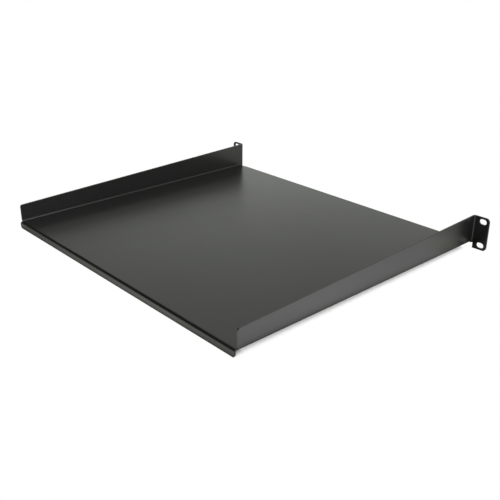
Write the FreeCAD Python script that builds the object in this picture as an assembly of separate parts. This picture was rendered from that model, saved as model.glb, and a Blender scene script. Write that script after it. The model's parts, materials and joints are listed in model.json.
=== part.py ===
"""A cantilever shelf for a 19 inch rack, folded from one steel sheet.

A plain tray stands between two side walls that taper towards the back. Each wall turns outwards at the
front into a slotted ear, and the tray turns down into a short lip at the front and at the back.

Millimetres. +X runs across the rack, +Y from the ears back into the rack, +Z up. The origin is the centre
of the four mounting slots, on the rear faces of the ears, where they meet the rack's posts.
"""
import FreeCAD, Part
import math
import os

# The rack's standard sizes
EARS_WIDTH = 482.6          # over both ears
RACK_UNIT_HEIGHT = 44.45    # height of one unit of the rack
UNIT_GAP = 0.79             # left free between neighbours in the rack
POST_HOLE_GAP = 12.7        # from one unit's top hole to the next unit's bottom hole

# The sheet and its folds
SHEET = 2.0                 # thickness, coat included
BEND_RADIUS = 1.5           # inside the fold
RELIEF = 0.5                # slit left where two folds would run into each other

# The shelf
TRAY_DEPTH = 400.0          # from the ears' rear faces to the rear lip's outer face
LIP_DROP = 7.0              # from the tray's underside to the lower edges of the lips and ears
FRONT_LIP_SETBACK = 1.0     # the front lip's outer face, behind the ears' rear faces
FRONT_LIP_NOTCH = 15.0      # the front lip's ends, inside the walls' outer faces, clear of the ears' blanks
WALL_REAR_HEIGHT = 24.5     # above the tray's underside
WALL_REAR_SETBACK = 3.0     # the walls' rear ends, in front of the rear lip's outer face
WALL_CORNER_RADIUS = 3.0
LIP_CORNER_RADIUS = 3.0

# The ears
EAR_REACH = 20.8            # from a wall's outer face to its ear's outer edge
SLOT_INSET = 8.75           # from the ear's outer edge to the slots' centres
SLOT_LENGTH = 10.0
SLOT_WIDTH = 7.0
EAR_CORNER_RADIUS = 5.0

# Places that follow from the sizes
OUTER_RADIUS = BEND_RADIUS + SHEET
EAR_HEIGHT = RACK_UNIT_HEIGHT - UNIT_GAP
EAR_TOP = EAR_HEIGHT / 2
EAR_BOTTOM = -EAR_HEIGHT / 2
EAR_OUTSIDE = EARS_WIDTH / 2
SLOT_ACROSS = EAR_OUTSIDE - SLOT_INSET              # the slots' centres, from the middle of the shelf
SLOT_SPACING = RACK_UNIT_HEIGHT - POST_HOLE_GAP     # between the two slots of one ear
TRAY_UNDERSIDE = EAR_BOTTOM + LIP_DROP
TRAY_TOP = TRAY_UNDERSIDE + SHEET
WALL_OUTSIDE = EAR_OUTSIDE - EAR_REACH
WALL_INSIDE = WALL_OUTSIDE - SHEET
WALL_START = BEND_RADIUS                            # where the ear's fold ends and the flat wall begins
WALL_END = TRAY_DEPTH - WALL_REAR_SETBACK
SIDE_BEND_LINE = WALL_OUTSIDE - OUTER_RADIUS        # the tray's flat ends here, and the wall's fold begins
FRONT_BEND_LINE = FRONT_LIP_SETBACK + OUTER_RADIUS
REAR_BEND_LINE = TRAY_DEPTH - OUTER_RADIUS
EAR_BEND_LINE = WALL_OUTSIDE + BEND_RADIUS          # the flat ear begins here

# How far round its fold each wall's rear foot is cut away, clear of the rear lip's end
FOOT_CUT = (WALL_INSIDE + 2 * RELIEF - SIDE_BEND_LINE) / (BEND_RADIUS + SHEET / 2)      # radians

NO_LENGTH = 1e-6            # shorter than this, a straight between two corners is left out

X = FreeCAD.Vector(1, 0, 0)
Y = FreeCAD.Vector(0, 1, 0)
Z = FreeCAD.Vector(0, 0, 1)


def outline(corners, origin, across, up):
    """Return the flat face inside a ring of corners, each (across, up, radius), in the plane at origin."""
    points = [origin + across * a + up * u for a, u, radius in corners]
    arcs = []
    for index, (a, u, radius) in enumerate(corners):
        corner = points[index]
        to_last = (points[index - 1] - corner).normalize()
        to_next = (points[(index + 1) % len(points)] - corner).normalize()
        half_angle = to_last.getAngle(to_next) / 2
        run_in = radius / math.tan(half_angle)
        inwards = (to_last + to_next).normalize()
        middle = corner + inwards * (radius / math.sin(half_angle) - radius)
        arcs.append((corner + to_last * run_in, middle, corner + to_next * run_in, radius))
    edges = []
    for index, (start, middle, end, radius) in enumerate(arcs):
        if radius > 0:
            edges.append(Part.Arc(start, middle, end).toShape())
        next_start = arcs[(index + 1) % len(arcs)][0]
        if end.distanceToPoint(next_start) > NO_LENGTH:
            edges.append(Part.LineSegment(end, next_start).toShape())
    return Part.Face(Part.Wire(edges))


def plate(corners, origin, across, up, thickness):
    """Return a flat piece of sheet. Thickness is the vector from its outlined face to the other one."""
    return outline(corners, origin, across, up).extrude(thickness)


def fold(origin, across, up, along):
    """Return a quarter-turn fold.

    Origin is where the fold starts on the outer face, across is the way the sheet runs into the fold, up is
    the way it runs out, and along is the fold's length.
    """
    section = [
        (0, 0, 0),
        (OUTER_RADIUS, 0, OUTER_RADIUS),
        (OUTER_RADIUS, OUTER_RADIUS, 0),
        (BEND_RADIUS, OUTER_RADIUS, 0),
        (BEND_RADIUS, SHEET, BEND_RADIUS),
        (0, SHEET, 0),
    ]
    return outline(section, origin, across, up).extrude(along)


def tray():
    """The flat floor, up to the four bend lines."""
    corners = [
        (-SIDE_BEND_LINE, FRONT_BEND_LINE, 0),
        (SIDE_BEND_LINE, FRONT_BEND_LINE, 0),
        (SIDE_BEND_LINE, REAR_BEND_LINE, 0),
        (-SIDE_BEND_LINE, REAR_BEND_LINE, 0),
    ]
    return [plate(corners, Z * TRAY_UNDERSIDE, X, Y, Z * SHEET)]


def side_wall(outwards):
    """One wall and the fold below it. Its top edge falls in a straight line to a rounded rear corner.

    The fold starts clear of the ear's. At the rear its lower half stops clear of the lip's fold, and the
    rest of it runs on to the wall's end.
    """
    fold_start = WALL_START + RELIEF
    bottom = outwards * SIDE_BEND_LINE + Y * fold_start + Z * TRAY_UNDERSIDE
    corners = [
        (WALL_START, TRAY_UNDERSIDE + OUTER_RADIUS, 0),
        (WALL_END, TRAY_UNDERSIDE + OUTER_RADIUS, 0),
        (WALL_END, TRAY_UNDERSIDE + WALL_REAR_HEIGHT, WALL_CORNER_RADIUS),
        (WALL_START, EAR_TOP, 0),
    ]
    return [
        fold(bottom, outwards, Z, Y * (WALL_END - fold_start)).cut(foot_cut(outwards)),
        plate(corners, outwards * WALL_INSIDE, Y, Z, outwards * SHEET),
    ]


def foot_cut(outwards):
    """The cutter of a wall's rear foot. Its slanting side stands square to the sheet within the fold."""
    start = REAR_BEND_LINE - RELIEF
    centre = outwards * SIDE_BEND_LINE + Y * start + Z * (TRAY_UNDERSIDE + OUTER_RADIUS)
    reach = 2 * OUTER_RADIUS
    corners = [
        (0, 0, 0),
        (-OUTER_RADIUS, 0, 0),
        (-OUTER_RADIUS, -reach, 0),
        (reach * math.sin(FOOT_CUT), -reach, 0),
        (reach * math.sin(FOOT_CUT), -reach * math.cos(FOOT_CUT), 0),
    ]
    return plate(corners, centre, outwards, Z, Y * (TRAY_DEPTH - start))


def ear(outwards):
    """One mounting ear and the fold that joins it to its wall.

    The fold reaches down to the tray's underside, and below it the ear is cut off square at its bend
    line. The outer corners are round, and the two slots run across.
    """
    joint = outwards * WALL_INSIDE + Y * WALL_START + Z * TRAY_UNDERSIDE
    corners = [
        (EAR_BEND_LINE, EAR_BOTTOM, 0),
        (EAR_OUTSIDE, EAR_BOTTOM, EAR_CORNER_RADIUS),
        (EAR_OUTSIDE, EAR_TOP, EAR_CORNER_RADIUS),
        (EAR_BEND_LINE, EAR_TOP, 0),
    ]
    flat = plate(corners, Y * -SHEET, outwards, Z, Y * SHEET)
    for height in (-SLOT_SPACING / 2, SLOT_SPACING / 2):
        flat = flat.cut(slot(outwards, height))
    return [fold(joint, Y * -1, outwards, Z * (EAR_TOP - TRAY_UNDERSIDE)), flat]


def slot(outwards, height):
    """The round-ended cutter of one mounting slot."""
    inner = SLOT_ACROSS - SLOT_LENGTH / 2
    outer = SLOT_ACROSS + SLOT_LENGTH / 2
    low = height - SLOT_WIDTH / 2
    high = height + SLOT_WIDTH / 2
    corners = [(inner, low), (outer, low), (outer, high), (inner, high)]
    rounded = [(a, u, SLOT_WIDTH / 2) for a, u in corners]
    return plate(rounded, Y * -SHEET, outwards, Z, Y * SHEET)


def lip(half_width, bend_line, outwards):
    """A lip folded down from the tray, with rounded lower corners."""
    start = X * -half_width + Y * bend_line + Z * TRAY_TOP
    face = Y * bend_line + outwards * BEND_RADIUS
    top = TRAY_TOP - OUTER_RADIUS
    corners = [
        (-half_width, EAR_BOTTOM, LIP_CORNER_RADIUS),
        (half_width, EAR_BOTTOM, LIP_CORNER_RADIUS),
        (half_width, top, 0),
        (-half_width, top, 0),
    ]
    return [
        fold(start, outwards, Z * -1, X * (2 * half_width)),
        plate(corners, face, X, Z, outwards * SHEET),
    ]


def shelf():
    """The whole folded sheet as one solid. The rear lip runs from one wall's inner face to the other's."""
    pieces = tray()
    pieces += lip(WALL_OUTSIDE - FRONT_LIP_NOTCH, FRONT_BEND_LINE, Y * -1)
    pieces += lip(WALL_INSIDE, REAR_BEND_LINE, Y)
    for outwards in (X * -1, X):
        pieces += side_wall(outwards)
        pieces += ear(outwards)
    return pieces[0].multiFuse(pieces[1:]).removeSplitter()


os.makedirs("parts", exist_ok=True)
part = shelf()
solid = part.Solids[0]
print("solids", len(part.Solids), "valid", part.isValid(), "closed", solid.isClosed())
print("volume", round(part.Volume / 1000, 1), "cm3,", "faces", len(part.Faces))
solid.exportStep("parts/shelf.step")
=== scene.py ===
import json
import math

import bmesh
import bpy
from mathutils import Matrix, Quaternion, Vector


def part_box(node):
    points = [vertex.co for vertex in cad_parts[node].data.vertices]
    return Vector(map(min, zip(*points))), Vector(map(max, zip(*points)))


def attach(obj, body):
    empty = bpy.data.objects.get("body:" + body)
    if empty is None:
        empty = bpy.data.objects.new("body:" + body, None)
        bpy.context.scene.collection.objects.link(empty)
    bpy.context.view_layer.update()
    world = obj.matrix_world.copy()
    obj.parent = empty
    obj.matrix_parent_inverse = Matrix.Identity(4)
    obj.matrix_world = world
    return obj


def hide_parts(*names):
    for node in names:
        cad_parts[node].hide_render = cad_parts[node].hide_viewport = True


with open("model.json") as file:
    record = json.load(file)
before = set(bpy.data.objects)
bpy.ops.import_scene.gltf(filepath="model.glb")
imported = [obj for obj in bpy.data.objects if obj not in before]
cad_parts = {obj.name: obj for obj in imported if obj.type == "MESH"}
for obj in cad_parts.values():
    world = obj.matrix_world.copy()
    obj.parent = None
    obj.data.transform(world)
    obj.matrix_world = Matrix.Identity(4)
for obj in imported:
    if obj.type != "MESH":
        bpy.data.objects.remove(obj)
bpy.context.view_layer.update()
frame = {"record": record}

MM = 0.001


# --- The sheet's blank ---------------------------------------------------------------------------
# One steel sheet, cut flat before it is folded: the tray in the middle, a wall blank on each side with
# its ear blank at the front, and a lip blank along the front and the back. Its raw edges are slightly
# rounded, as a coat leaves them. It lies with its underside at height 0 and its tray already in place.

low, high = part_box("shelf")
mounts = {mount["name"]: mount for mount in frame["record"]["mounts"]}
slots = mounts["ear_slots"]["dims"]

SHEET = -low[1]                          # the ears' front faces stand one sheet ahead of their rear faces
BEND_RADIUS = 1.5 * MM                   # inside each fold
RELIEF = 0.5 * MM
LIP_DROP = 7.0 * MM
FRONT_LIP_SETBACK = 1.0 * MM
FRONT_LIP_NOTCH = 15.0 * MM
WALL_REAR_HEIGHT = 24.5 * MM
WALL_REAR_SETBACK = 3.0 * MM
EAR_REACH = 20.8 * MM
SMALL_CORNER = 3.0 * MM                  # the walls' top rear corners and the lips' lower corners
EAR_CORNER = 5.0 * MM
EDGE_RADIUS = 0.3 * MM                   # on the raw edges
EDGE_STEPS = 2                           # rings of points between the two ends of an edge's rounding
ROUND_STEPS = 10                         # straight pieces in a quarter turn

outer_radius = BEND_RADIUS + SHEET
allowance = (BEND_RADIUS + SHEET / 2) * math.pi / 2      # flat length that goes into each fold
ear_outside = high[0]
tray_depth = high[1]
ear_height = high[2] - low[2]
tray_underside = low[2] + LIP_DROP
wall_outside = ear_outside - EAR_REACH
side_line = wall_outside - outer_radius
front_line = FRONT_LIP_SETBACK + outer_radius
rear_line = tray_depth - outer_radius
wall_start = BEND_RADIUS
wall_end = tray_depth - WALL_REAR_SETBACK


def rounded(corners):
    """Turn (x, y, radius) corners into the points of a closed outline, with arcs at the round ones."""
    points = []
    for index, (x, y, radius) in enumerate(corners):
        corner = Vector((x, y))
        if not radius:
            points.append(corner)
            continue
        to_last = (Vector(corners[index - 1][:2]) - corner).normalized()
        to_next = (Vector(corners[(index + 1) % len(corners)][:2]) - corner).normalized()
        half_angle = to_last.angle(to_next) / 2
        centre = corner + (to_last + to_next).normalized() * radius / math.sin(half_angle)
        start = corner + to_last * radius / math.tan(half_angle) - centre
        turn = (math.pi - 2 * half_angle) * math.copysign(1, to_next.cross(to_last))
        steps = max(2, round(ROUND_STEPS * abs(turn) / (math.pi / 2)))
        for step in range(steps + 1):
            points.append(centre + Matrix.Rotation(turn * step / steps, 2) @ start)
    return points


wall_flat = side_line + allowance                        # the flat wall begins here, one fold out
blank_foot = wall_flat - outer_radius                    # the tray's underside level, on the wall blank
ear_fold_end = wall_start - allowance
ear_edge = ear_fold_end - (ear_outside - wall_outside - BEND_RADIUS)
lip_flat = LIP_DROP - BEND_RADIUS
front_edge = front_line - allowance - lip_flat
rear_fold_end = rear_line + allowance
rear_edge = rear_fold_end + lip_flat
side_fold_end = rear_line - RELIEF
front_half = wall_outside - FRONT_LIP_NOTCH
rear_half = wall_outside - SHEET
foot_cut = rear_half + 2 * RELIEF                        # each wall's rear foot is cut away up to here
ear_low = blank_foot - LIP_DROP
ear_high = ear_low + ear_height

right_side = [
    (front_half, front_edge, SMALL_CORNER),
    (front_half, front_line, 0),
    (side_line, front_line, 0),
    (side_line, wall_start + RELIEF, 0),
    (wall_flat, wall_start + RELIEF, 0),
    (wall_flat, wall_start, 0),
    (blank_foot, wall_start, 0),
    (blank_foot, ear_fold_end, 0),
    (ear_low, ear_fold_end, 0),
    (ear_low, ear_edge, EAR_CORNER),
    (ear_high, ear_edge, EAR_CORNER),
    (ear_high, wall_start, 0),
    (blank_foot + WALL_REAR_HEIGHT, wall_end, SMALL_CORNER),
    (foot_cut, wall_end, 0),
    (foot_cut, side_fold_end, 0),
    (side_line, side_fold_end, 0),
    (side_line, rear_line, 0),
    (rear_half, rear_line, 0),
    (rear_half, rear_edge, SMALL_CORNER),
]
left_side = [(-x, y, radius) for x, y, radius in reversed(right_side)]

slot_half_length = slots["slot_length_mm"] * MM / 2
slot_radius = slots["hole_r_mm"] * MM
slot_y = ear_edge + ear_outside - slots["spacing_x_mm"] * MM / 2
slot_x_middle = ear_low + ear_height / 2
slot_spacing = slots["spacing_y_mm"] * MM


def slot_outline(x, y):
    """A slot in an ear blank. In the rack it runs across, so on the blank it runs along Y."""
    arms = ((-1, -1), (1, -1), (1, 1), (-1, 1))
    return rounded([(x + i * slot_radius, y + j * slot_half_length, slot_radius) for i, j in arms])


outlines = [rounded(right_side + left_side)]
for side in (-1, 1):
    for step in (-1, 1):
        outlines.append(slot_outline(side * (slot_x_middle + step * slot_spacing / 2), slot_y))

curve = bpy.data.curves.new("shelf_blank", "CURVE")
curve.dimensions = "2D"
curve.fill_mode = "BOTH"
curve.extrude = SHEET / 2 - EDGE_RADIUS
curve.bevel_depth = EDGE_RADIUS
curve.bevel_resolution = EDGE_STEPS
curve.offset = -EDGE_RADIUS
for outline in outlines:
    spline = curve.splines.new("POLY")
    spline.points.add(len(outline) - 1)
    for point, (x, y) in zip(spline.points, outline):
        point.co = (x, y, 0, 1)
    spline.use_cyclic_u = True

outline_object = bpy.data.objects.new("shelf_outline", curve)
bpy.context.collection.objects.link(outline_object)
evaluated = outline_object.evaluated_get(bpy.context.evaluated_depsgraph_get())
blank_mesh = bpy.data.meshes.new_from_object(evaluated)
bpy.data.objects.remove(outline_object)
blank_mesh.transform(Matrix.Translation((0, 0, SHEET / 2)))


# --- The fold lines ------------------------------------------------------------------------------
# Each fold is a quarter turn in the press brake. The blank is scored across every fold into narrow
# strips, so that the metal can turn there, and each leaf beyond a line is marked by name.

FOLD_STRIPS = 12                         # across each fold
TOUCHING = 0.0001 * MM                   # points nearer than this are one
SHORTEST_EDGE = 0.01 * MM                # a shorter one is closed up


def in_right_ear(x, y):
    return y < wall_start + RELIEF / 2 and x > (front_half + ear_low) / 2


def in_rear_lip(x, y):
    return y > rear_line - RELIEF / 2 and abs(x) < (rear_half + foot_cut) / 2


def in_right_wall(x, y):
    return x > side_line and not in_rear_lip(x, y) and not in_right_ear(x, y)


def in_front_lip(x, y):
    return y < front_line and abs(x) < (front_half + ear_low) / 2


leaves = {
    "right_ear": in_right_ear,
    "left_ear": lambda x, y: in_right_ear(-x, y),
    "right_wall": in_right_wall,
    "left_wall": lambda x, y: in_right_wall(-x, y),
    "front_lip": in_front_lip,
    "rear_lip": in_rear_lip,
}
right = Vector((1, 0, 0))
back = Vector((0, 1, 0))
up = Vector((0, 0, 1))
folds = [
    # leaf, what it carries, where the fold starts on its outer face, way in, way out
    ("right_ear", "", Vector((0, wall_start, SHEET)), -back, -up),
    ("left_ear", "", Vector((0, wall_start, SHEET)), -back, -up),
    ("front_lip", "", Vector((0, front_line, SHEET)), -back, -up),
    ("rear_lip", "", Vector((0, rear_line, SHEET)), back, -up),
    ("right_wall", "right_ear", Vector((side_line, 0, 0)), right, up),
    ("left_wall", "left_ear", Vector((-side_line, 0, 0)), -right, up),
]


def score(mesh, test, point, normal):
    """Cut the faces whose middle passes the test, along the plane through point."""
    faces = [face for face in mesh.faces if test(*face.calc_center_median().xy)]
    edges = {edge for face in faces for edge in face.edges}
    verts = {vert for face in faces for vert in face.verts}
    geometry = faces + list(edges) + list(verts)
    bmesh.ops.bisect_plane(mesh, geom=geometry, dist=TOUCHING, plane_co=point, plane_no=normal)


def edge_length(edge):
    return edge.calc_length()


blank = bmesh.new()
blank.from_mesh(blank_mesh)
bmesh.ops.remove_doubles(blank, verts=blank.verts, dist=TOUCHING)
long_edges = {face: max(face.edges, key=edge_length) for face in blank.faces}
slivers = [face for face in blank.faces if face.calc_area() < TOUCHING * edge_length(long_edges[face])]
bmesh.ops.dissolve_edges(blank, edges=list({long_edges[face] for face in slivers}))
for leaf, carried, line, way_in, way_out in folds:
    score(blank, lambda x, y: True, line, way_in)
for leaf, carried, line, way_in, way_out in folds:
    for strip in range(1, FOLD_STRIPS + 1):
        score(blank, leaves[leaf], line + way_in * allowance * strip / FOLD_STRIPS, way_in)
for leaf, test in leaves.items():
    mark = blank.verts.layers.int.new(leaf)
    for vert in blank.verts:
        vert[mark] = int(test(vert.co.x, vert.co.y))
bmesh.ops.dissolve_degenerate(blank, edges=blank.edges, dist=SHORTEST_EDGE)
bmesh.ops.recalc_face_normals(blank, faces=blank.faces)
blank.to_mesh(blank_mesh)
blank.free()
shelf = bpy.data.objects.new("folded_shelf", blank_mesh)
bpy.context.collection.objects.link(shelf)


# --- The press brake -----------------------------------------------------------------------------
# One tree makes one fold: it rolls a leaf round the fold's radius and swings the rest of it square, along
# with whatever leaf it carries. The ears and lips are folded first, and then the walls with their ears.

def socket_value(tree, socket, value):
    """Feed a node's input from another socket or set it to a constant."""
    if isinstance(value, bpy.types.NodeSocket):
        tree.links.new(value, socket)
    else:
        socket.default_value = value


def calculate(tree, operation, *values):
    node = tree.nodes.new("ShaderNodeMath")
    node.operation = operation
    for socket, value in zip(node.inputs, values):
        socket_value(tree, socket, value)
    return node.outputs["Value"]


def dot(tree, one, other):
    node = tree.nodes.new("ShaderNodeVectorMath")
    node.operation = "DOT_PRODUCT"
    socket_value(tree, node.inputs[0], one)
    socket_value(tree, node.inputs[1], other)
    return node.outputs["Value"]


def combine(tree, operation, one, other):
    node = tree.nodes.new("ShaderNodeVectorMath")
    node.operation = operation
    socket_value(tree, node.inputs[0], one)
    socket_value(tree, node.inputs["Scale"] if operation == "SCALE" else node.inputs[1], other)
    return node.outputs["Vector"]


def leaf_mark(tree, name):
    node = tree.nodes.new("GeometryNodeInputNamedAttribute")
    node.data_type = "BOOLEAN"
    socket_value(tree, node.inputs["Name"], name)
    return node.outputs["Attribute"]


def choose(tree, switch, otherwise, then):
    node = tree.nodes.new("GeometryNodeSwitch")
    node.input_type = "FLOAT"
    for name, value in (("Switch", switch), ("False", otherwise), ("True", then)):
        socket_value(tree, node.inputs[name], value)
    return node.outputs["Output"]


press = bpy.data.node_groups.new("press brake fold", "GeometryNodeTree")
inputs = {}
for name, kind in (
    ("Geometry", "Geometry"),
    ("Leaf", "String"),
    ("Carried Leaf", "String"),
    ("Fold Line", "Vector"),
    ("Way In", "Vector"),
    ("Way Out", "Vector"),
    ("Bend Radius", "Float"),
    ("Sheet", "Float"),
    ("Turn", "Float"),
    ("Finish", "Material"),
):
    inputs[name] = press.interface.new_socket(name, in_out="INPUT", socket_type="NodeSocket" + kind)
press.interface.new_socket("Geometry", in_out="OUTPUT", socket_type="NodeSocketGeometry")

given = press.nodes.new("NodeGroupInput").outputs
position = press.nodes.new("GeometryNodeInputPosition").outputs["Position"]
from_line = combine(press, "SUBTRACT", position, given["Fold Line"])
way = dot(press, from_line, given["Way In"])
depth = dot(press, from_line, given["Way Out"])

carried = leaf_mark(press, given["Carried Leaf"])
outer = calculate(press, "ADD", given["Bend Radius"], given["Sheet"])
middle = calculate(press, "SUBTRACT", outer, calculate(press, "DIVIDE", given["Sheet"], 2.0))
fold_length = calculate(press, "MULTIPLY", middle, given["Turn"])
past_line = calculate(press, "MAXIMUM", way, 0.0)
before_line = calculate(press, "MINIMUM", way, 0.0)
rolled = calculate(press, "DIVIDE", calculate(press, "MINIMUM", past_line, fold_length), middle)
angle = choose(press, carried, rolled, given["Turn"])
beyond_fold = calculate(press, "SUBTRACT", way, fold_length)
straight = choose(press, carried, calculate(press, "MAXIMUM", beyond_fold, 0.0), beyond_fold)
still = choose(press, carried, before_line, 0.0)

arm = calculate(press, "SUBTRACT", outer, depth)
sine = calculate(press, "SINE", angle)
cosine = calculate(press, "COSINE", angle)
in_reach = calculate(press, "MULTIPLY_ADD", arm, sine, calculate(press, "MULTIPLY", straight, cosine))
out_reach = calculate(press, "MULTIPLY_ADD", straight, sine, outer)
out_reach = calculate(press, "SUBTRACT", out_reach, calculate(press, "MULTIPLY", arm, cosine))
in_shift = calculate(press, "SUBTRACT", calculate(press, "ADD", in_reach, still), way)
out_shift = calculate(press, "SUBTRACT", out_reach, depth)
shift = combine(
    press,
    "ADD",
    combine(press, "SCALE", given["Way In"], in_shift),
    combine(press, "SCALE", given["Way Out"], out_shift),
)

either = press.nodes.new("FunctionNodeBooleanMath")
either.operation = "OR"
press.links.new(leaf_mark(press, given["Leaf"]), either.inputs[0])
press.links.new(carried, either.inputs[1])
turn_leaf = press.nodes.new("GeometryNodeSetPosition")
press.links.new(given["Geometry"], turn_leaf.inputs["Geometry"])
press.links.new(either.outputs["Boolean"], turn_leaf.inputs["Selection"])
press.links.new(shift, turn_leaf.inputs["Offset"])
realize = press.nodes.new("GeometryNodeRealizeInstances")
press.links.new(turn_leaf.outputs["Geometry"], realize.inputs["Geometry"])
coat = press.nodes.new("GeometryNodeSetMaterial")
press.links.new(realize.outputs["Geometry"], coat.inputs["Geometry"])
press.links.new(given["Finish"], coat.inputs["Material"])
press.links.new(coat.outputs["Geometry"], press.nodes.new("NodeGroupOutput").inputs["Geometry"])

powder_coat = bpy.data.materials.new("black_powder_coat")
powder_coat.use_nodes = True

for leaf, carried_leaf, line, way_in, way_out in folds:
    modifier = shelf.modifiers.new(leaf, "NODES")
    modifier.node_group = press
    for name, value in (
        ("Leaf", leaf),
        ("Carried Leaf", carried_leaf),
        ("Fold Line", line),
        ("Way In", way_in),
        ("Way Out", way_out),
        ("Bend Radius", BEND_RADIUS),
        ("Sheet", SHEET),
        ("Turn", math.pi / 2),
        ("Finish", powder_coat),
    ):
        modifier[inputs[name].identifier] = value

evaluated = shelf.evaluated_get(bpy.context.evaluated_depsgraph_get())
folded_mesh = bpy.data.meshes.new_from_object(evaluated)
shelf.modifiers.clear()
shelf.data = folded_mesh
folded_mesh.transform(Matrix.Translation((0, 0, tray_underside)))
for leaf in leaves:
    folded_mesh.attributes.remove(folded_mesh.attributes[leaf])
folded_mesh.shade_smooth()
facing = shelf.modifiers.new("flats stay flat", "WEIGHTED_NORMAL")
facing.mode = "FACE_AREA"
facing.weight = 100                      # the largest face at a point decides, which is the flat one
facing.keep_sharp = False

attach(shelf, "root")
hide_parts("shelf")


# --- The powder coat -----------------------------------------------------------------------------
# Black powder, baked to a satin skin about a tenth of a millimetre thick. It flows into a faint orange
# peel with a finer grain on it, and it is a little drier in some places than in others.

DARKER_COAT = (0.0058, 0.0060, 0.0061)
LIGHTER_COAT = (0.0066, 0.0067, 0.0068)
COAT_IOR = 1.5
PATCH_SCALE = 9.0                        # how many times each pattern comes back in a metre
FLOW_SCALE = 55.0
PEEL_SCALE = 420.0
GRAIN_SCALE = 1900.0
GRAIN_SHARE = 0.25                       # the grain's height beside the peel's
PEEL_HEIGHT = 0.012 * MM
SMOOTHEST, DRIEST = 0.27, 0.31           # roughness from patch to patch
FLOW_DRYNESS = 0.02                      # roughness that the flow adds


def noise(tree, place, scale, detail):
    node = tree.nodes.new("ShaderNodeTexNoise")
    tree.links.new(place, node.inputs["Vector"])
    node.inputs["Scale"].default_value = scale
    node.inputs["Detail"].default_value = detail
    return node.outputs["Fac"]


def ramp(tree, value, between, results):
    """A straight slope from one result to the other while the value goes between the two given."""
    node = tree.nodes.new("ShaderNodeMapRange")
    tree.links.new(value, node.inputs["Value"])
    for name, number in zip(("From Min", "From Max", "To Min", "To Max"), (*between, *results)):
        node.inputs[name].default_value = number
    return node.outputs["Result"]


def spread(tree, value, results):
    """Stretch a noise's middle, where nearly all of it lies, over these results."""
    return ramp(tree, value, between=(0.3, 0.7), results=results)


def blend_colours(tree, factor, one, other):
    node = tree.nodes.new("ShaderNodeMix")
    node.data_type = "RGBA"
    tree.links.new(factor, node.inputs["Factor"])
    node.inputs["A"].default_value = (*one, 1.0)
    node.inputs["B"].default_value = (*other, 1.0)
    return node.outputs["Result"]


tree = powder_coat.node_tree
skin = tree.nodes["Principled BSDF"]
skin.inputs["IOR"].default_value = COAT_IOR
place = tree.nodes.new("ShaderNodeTexCoord").outputs["Object"]

patches = noise(tree, place, PATCH_SCALE, 2.0)
tone = blend_colours(tree, spread(tree, patches, (0.0, 1.0)), DARKER_COAT, LIGHTER_COAT)
tree.links.new(tone, skin.inputs["Base Color"])

flow = noise(tree, place, FLOW_SCALE, 2.0)
patch_dryness = spread(tree, patches, (SMOOTHEST, DRIEST))
flow_dryness = spread(tree, flow, (0.0, FLOW_DRYNESS))
tree.links.new(calculate(tree, "ADD", patch_dryness, flow_dryness), skin.inputs["Roughness"])

peel = noise(tree, place, PEEL_SCALE, 1.0)
grain = noise(tree, place, GRAIN_SCALE, 1.0)
bump = tree.nodes.new("ShaderNodeBump")
bump.inputs["Distance"].default_value = PEEL_HEIGHT
bump.inputs["Strength"].default_value = 1.0
tree.links.new(calculate(tree, "MULTIPLY_ADD", grain, GRAIN_SHARE, peel), bump.inputs["Height"])
tree.links.new(bump.outputs["Normal"], skin.inputs["Normal"])


# --- The studio ----------------------------------------------------------------------------------
# A white floor and a low white backdrop, in a grey room that is bright low at the shelf's right front and
# dark behind it. One softbox hangs over the shelf and a long one stands low on its left. A card that
# glows by itself and that only reflections see lies along its left wall, as a painted reflection on that
# wall.

WHITE = (1.0, 1.0, 1.0)
FLOOR_REACH = 12.0
FLOOR_GREY = (0.8, 0.8, 0.8)             # what the floor gives back of the light
MIRRORED_FLOOR = (0.99, 1.0, 0.90)
CONTACT_REACH = 2 * LIP_DROP             # how near the shelf the floor is shaded by it
MIRRORED_CONTACT_REACH = 60 * MM
SHADOW_SAMPLES = 12
ROOM_TINT = (0.97, 1.0, 0.93)


def level_sheet(name, paint_name, x_ends, y_ends, height):
    """A level face that looks up, with a paint whose nodes are still to be made."""
    mesh = bpy.data.meshes.new(name)
    left_end, right_end = x_ends
    front, rear = y_ends
    corners = ((left_end, front), (right_end, front), (right_end, rear), (left_end, rear))
    mesh.from_pydata([(x, y, height) for x, y in corners], [], [(0, 1, 2, 3)])
    sheet = bpy.data.objects.new(name, mesh)
    bpy.context.collection.objects.link(sheet)
    paint = bpy.data.materials.new(paint_name)
    paint.use_nodes = True
    paint.node_tree.nodes.remove(paint.node_tree.nodes["Principled BSDF"])
    mesh.materials.append(paint)
    return sheet


def along_axis(tree, place, axis):
    node = tree.nodes.new("ShaderNodeSeparateXYZ")
    tree.links.new(place, node.inputs["Vector"])
    return node.outputs[axis]


def openness(tree, distance):
    """How open the floor is, from 0 to 1, when only things up to this distance away count."""
    node = tree.nodes.new("ShaderNodeAmbientOcclusion")
    node.samples = SHADOW_SAMPLES
    node.inputs["Distance"].default_value = distance
    return node.outputs["AO"]


def mirrored_rays(tree):
    """1 for a ray that comes by way of a gloss or a glass, and 0 for the others."""
    rays = tree.nodes.new("ShaderNodeLightPath").outputs
    return calculate(tree, "MAXIMUM", rays["Is Glossy Ray"], rays["Is Transmission Ray"])


def seen_rays(tree):
    """1 for a mirrored ray or one straight to the camera, and 0 for the light that falls on things."""
    rays = tree.nodes.new("ShaderNodeLightPath").outputs
    return calculate(tree, "MAXIMUM", rays["Is Camera Ray"], mirrored_rays(tree))


def blend_shaders(tree, factor, one, other):
    node = tree.nodes.new("ShaderNodeMixShader")
    tree.links.new(factor, node.inputs["Fac"])
    tree.links.new(one, node.inputs[1])
    tree.links.new(other, node.inputs[2])
    return node.outputs["Shader"]


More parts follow.
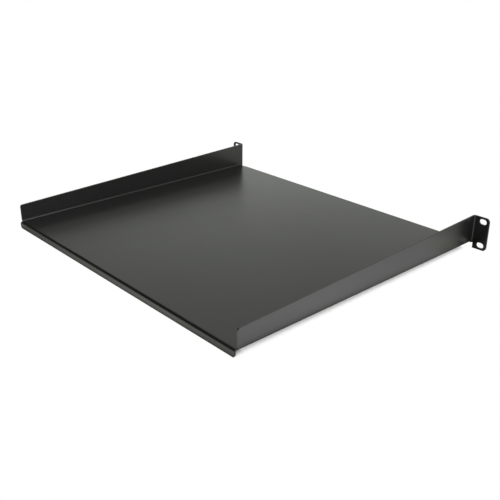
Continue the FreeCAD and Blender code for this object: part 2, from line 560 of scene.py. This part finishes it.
floor_ends = -FLOOR_REACH, FLOOR_REACH
floor = level_sheet("studio_floor", "white_floor", floor_ends, floor_ends, low[2])
tree = floor.active_material.node_tree
surface = tree.nodes.new("ShaderNodeNewGeometry").outputs
across = along_axis(tree, surface["Position"], "X")
along = along_axis(tree, surface["Position"], "Y")
mirrored = mirrored_rays(tree)

# As the coat mirrors it, the floor is brightest a little left of the shelf's middle, dimmer to its right,
# and half as bright in front of the left wall.
to_right = ramp(tree, across, between=(-0.08, 0.22), results=(1.62, 0.66))
by_left_wall = ramp(tree, across, between=(-0.165, -0.12), results=(1.43, 1.62))
in_front = ramp(tree, along, between=(-0.02, 0.015), results=(0.5, 1.0))
right_of_left_wall = ramp(tree, across, between=(-0.23, -0.2), results=(0.0, 1.0))
in_front = calculate(tree, "MAXIMUM", in_front, right_of_left_wall)
fall_off = calculate(tree, "MULTIPLY", calculate(tree, "MINIMUM", to_right, by_left_wall), in_front)
mirrored_openness = openness(tree, MIRRORED_CONTACT_REACH)
mirrored_shadow = ramp(tree, mirrored_openness, between=(0.35, 0.95), results=(0.0, 1.0))

shadow = ramp(tree, openness(tree, CONTACT_REACH), between=(0.19, 0.42), results=(0.05, 1.0))
brightness = tree.nodes.new("ShaderNodeMix")
tree.links.new(mirrored, brightness.inputs["Factor"])
tree.links.new(shadow, brightness.inputs["A"])
tree.links.new(calculate(tree, "MULTIPLY", mirrored_shadow, fall_off), brightness.inputs["B"])
glow = tree.nodes.new("ShaderNodeEmission")
tree.links.new(blend_colours(tree, mirrored, WHITE, MIRRORED_FLOOR), glow.inputs["Color"])
tree.links.new(brightness.outputs["Result"], glow.inputs["Strength"])
matt = tree.nodes.new("ShaderNodeBsdfDiffuse")
matt.inputs["Color"].default_value = (*FLOOR_GREY, 1.0)
from_above = blend_shaders(tree, seen_rays(tree), matt.outputs["BSDF"], glow.outputs["Emission"])
clear = tree.nodes.new("ShaderNodeBsdfTransparent").outputs["BSDF"]
open_below = blend_shaders(tree, surface["Backfacing"], from_above, clear)
tree.links.new(open_below, tree.nodes["Material Output"].inputs["Surface"])


def toward(azimuth):
    """The level direction at this angle in degrees, turned from +X towards +Y."""
    return Vector((math.cos(math.radians(azimuth)), math.sin(math.radians(azimuth)), 0))


world = bpy.data.worlds.new("grey_room")
bpy.context.scene.world = world
world.use_nodes = True
tree = world.node_tree
direction = tree.nodes.new("ShaderNodeTexCoord").outputs["Generated"]
height = dot(tree, direction, up)

# Each light in the room is a soft-edged patch. Height is the sine of the angle above the floor.
window = ramp(tree, dot(tree, direction, toward(-31)), between=(0.80, 0.97), results=(0.3, 2.1))
left_side = ramp(tree, dot(tree, direction, right), between=(-0.4, 0.0), results=(0.6, 0.0))
low_light = calculate(tree, "ADD", window, left_side)
low_fade = ramp(tree, height, between=(0.17, 0.36), results=(1.0, 0.0))
low_light = calculate(tree, "MULTIPLY", low_light, low_fade)
upper_window = ramp(tree, dot(tree, direction, toward(-38)), between=(0.80, 0.87), results=(0.0, 0.6))
upper_fade = ramp(tree, height, between=(0.40, 0.52), results=(0.0, 1.0))
upper_window = calculate(tree, "MULTIPLY", upper_window, upper_fade)
ceiling = ramp(tree, height, between=(0.5, 0.8), results=(0.335, 0.67))
to_front = dot(tree, direction, toward(-110))
dark_back = ramp(tree, to_front, between=(-0.25, 0.25), results=(0.1, 1.0))
bright_front = ramp(tree, to_front, between=(0.45, 0.7), results=(1.0, 2.0))
ceiling = calculate(tree, "MULTIPLY", calculate(tree, "MULTIPLY", ceiling, dark_back), bright_front)
room_light = calculate(tree, "ADD", calculate(tree, "ADD", low_light, upper_window), ceiling)

room = tree.nodes["Background"]
room.inputs["Color"].default_value = (*ROOM_TINT, 1.0)
tree.links.new(room_light, room.inputs["Strength"])
backdrop = tree.nodes.new("ShaderNodeBackground")
backdrop.inputs["Color"].default_value = (*WHITE, 1.0)
low_part = ramp(tree, height, between=(0.09, 0.12), results=(1.0, 0.0))
white_part = calculate(tree, "MULTIPLY", seen_rays(tree), low_part)
around = blend_shaders(tree, white_part, room.outputs["Background"], backdrop.outputs["Background"])
tree.links.new(around, tree.nodes["World Output"].inputs["Surface"])


def softbox(name, place, aim, width, length, radiance):
    """A rectangular lamp whose face looks as bright as the radiance, which is 1 for white."""
    light = bpy.data.lights.new(name, "AREA")
    light.shape = "RECTANGLE"
    light.size = width
    light.size_y = length
    light.energy = radiance * math.pi * width * length
    lamp = bpy.data.objects.new(name, light)
    lamp.visible_camera = False
    lamp.location = place
    lamp.rotation_mode = "QUATERNION"
    lamp.rotation_quaternion = (Vector(aim) - Vector(place)).to_track_quat("-Z", "Y")
    bpy.context.collection.objects.link(lamp)


softbox("overhead_softbox", place=(0, 0.05, 1.5), aim=(0, 0.051, 0), width=1.2, length=0.9, radiance=3.5)
softbox("low_softbox", place=(-1.0, 0.25, 0.3), aim=(-0.2, 0.25, 0), width=1.2, length=0.4, radiance=2.0)

CARD_GAP = 15 * MM                       # from the wall's outer face to the card
CARD_WIDTH = 0.36
CARD_FRONT, CARD_BACK = 0.04, 0.5
CARD_LIFT = 0.1 * MM                     # off the floor
CARD_COLOUR = (0.97, 0.97, 1.0)

card_near = -wall_outside - CARD_GAP
card_far = card_near - CARD_WIDTH
card_height = low[2] + CARD_LIFT
# Painted reflection: no lamp lights the card. It glows by itself, brighter towards the rear, and only
# reflections see it, so it shows only as a brighter reflection in the left wall's outer face.
card = level_sheet("glowing_card", "glowing_card", (card_far, card_near), (CARD_FRONT, CARD_BACK), card_height)
tree = card.active_material.node_tree
glow = tree.nodes.new("ShaderNodeEmission")
glow.inputs["Color"].default_value = (*CARD_COLOUR, 1.0)
along = along_axis(tree, tree.nodes.new("ShaderNodeNewGeometry").outputs["Position"], "Y")
tree.links.new(ramp(tree, along, between=(0.0, 0.26), results=(1.1, 2.0)), glow.inputs["Strength"])
tree.links.new(glow.outputs["Emission"], tree.nodes["Material Output"].inputs["Surface"])
card.visible_camera = False
card.visible_diffuse = False
card.visible_shadow = False


# --- The camera ----------------------------------------------------------------------------------
# It stands off the shelf's left rear corner, above the tray, and looks across it to the right front.

AIM = (-55.9 * MM, 232.2 * MM, tray_underside + SHEET)      # the middle of the view, on the tray
AIM_DISTANCE = 892.5 * MM
HEADING = -42.42                         # degrees from +X towards +Y
DOWN_TILT = 23.74
ROLL = 0.424
LENS = 52.19
SENSOR_WIDTH = 36.0

camera = bpy.data.objects.new("camera", bpy.data.cameras.new("camera"))
camera.data.lens = LENS
camera.data.sensor_width = SENSOR_WIDTH
tilt = math.radians(DOWN_TILT)
view_line = toward(HEADING) * math.cos(tilt) - up * math.sin(tilt)
roll = Quaternion((0, 0, 1), math.radians(ROLL))
camera.location = Vector(AIM) - view_line * AIM_DISTANCE
camera.rotation_mode = "QUATERNION"
camera.rotation_quaternion = view_line.to_track_quat("-Z", "Y") @ roll
bpy.context.collection.objects.link(camera)
bpy.context.scene.camera = camera
bpy.context.scene.view_settings.view_transform = "Standard"
